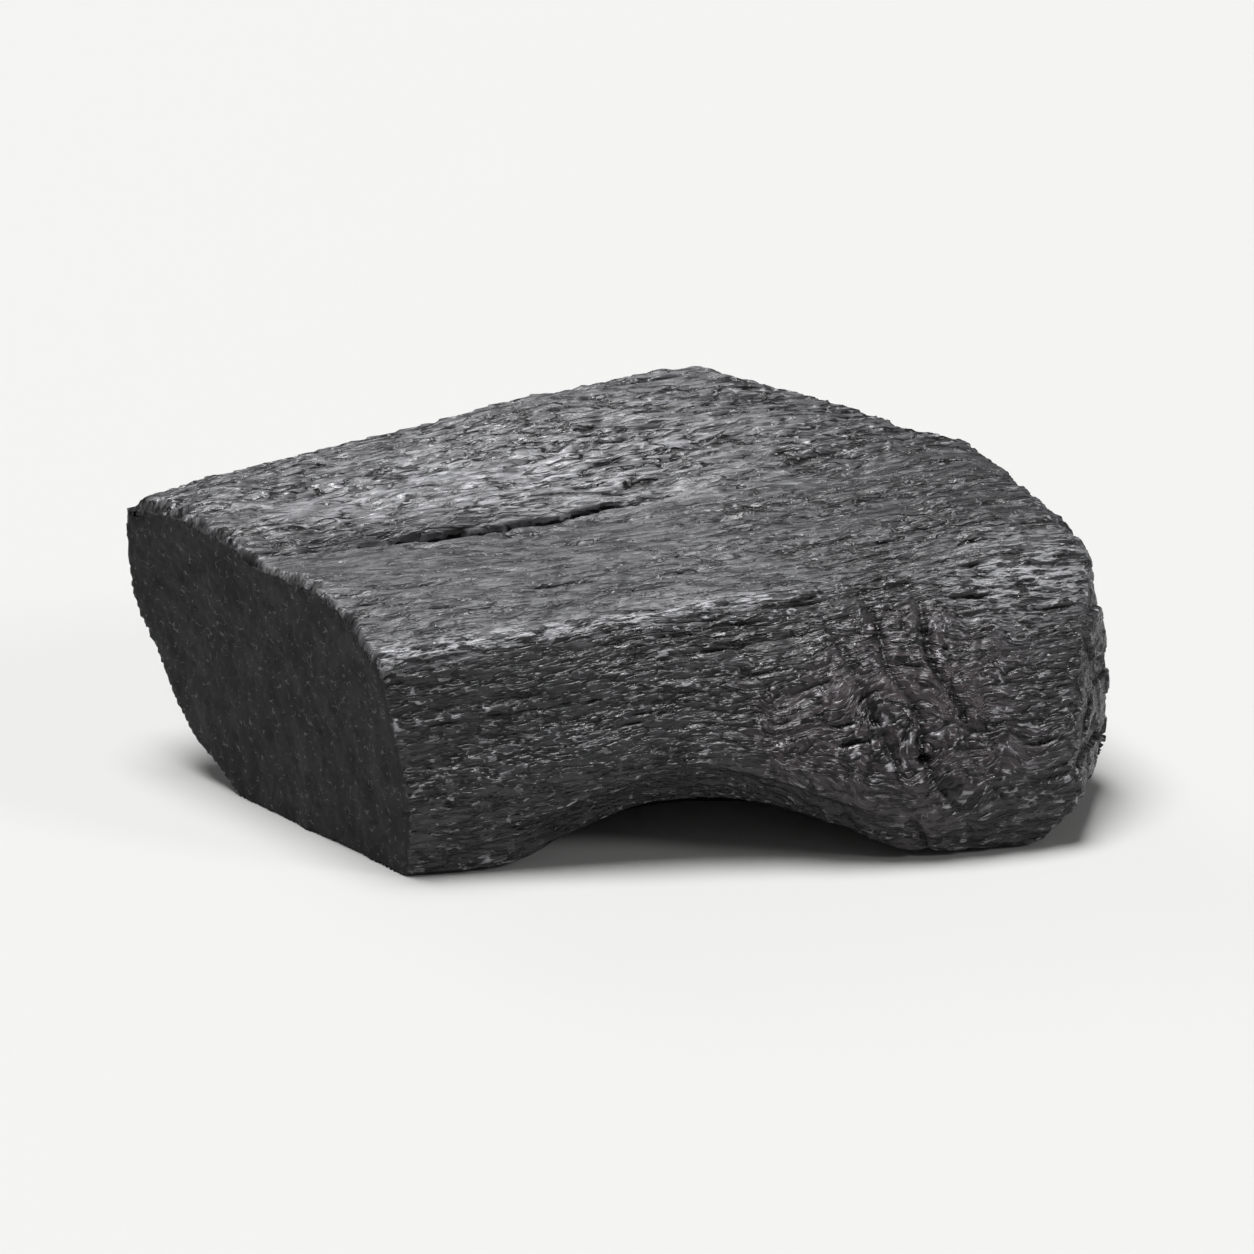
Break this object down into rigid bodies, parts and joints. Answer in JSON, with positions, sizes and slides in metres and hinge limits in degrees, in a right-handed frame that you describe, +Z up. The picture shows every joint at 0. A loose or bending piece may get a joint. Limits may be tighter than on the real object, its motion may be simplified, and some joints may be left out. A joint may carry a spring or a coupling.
{
  "type": "charcoal lump",
  "caption": "Lump of hardwood charcoal: a split, wedge-shaped block with a slanting flat broken end, a crack along its top and a hollow under its front",
  "frame": {"origin": "on the floor, under the middle of the lump's footprint", "axes": "+X along the wood's grain, from the slanting flat end to the rounded end; +Y from the front, which has the hollow, to the round back; +Z up"},
  "size_m": [0.0944, 0.052, 0.035],
  "materials": {
    "charcoal": "matte"
  },
  "bodies": {
    "root": {"charcoal_lump": "charcoal"}
  },
  "joints": []
}
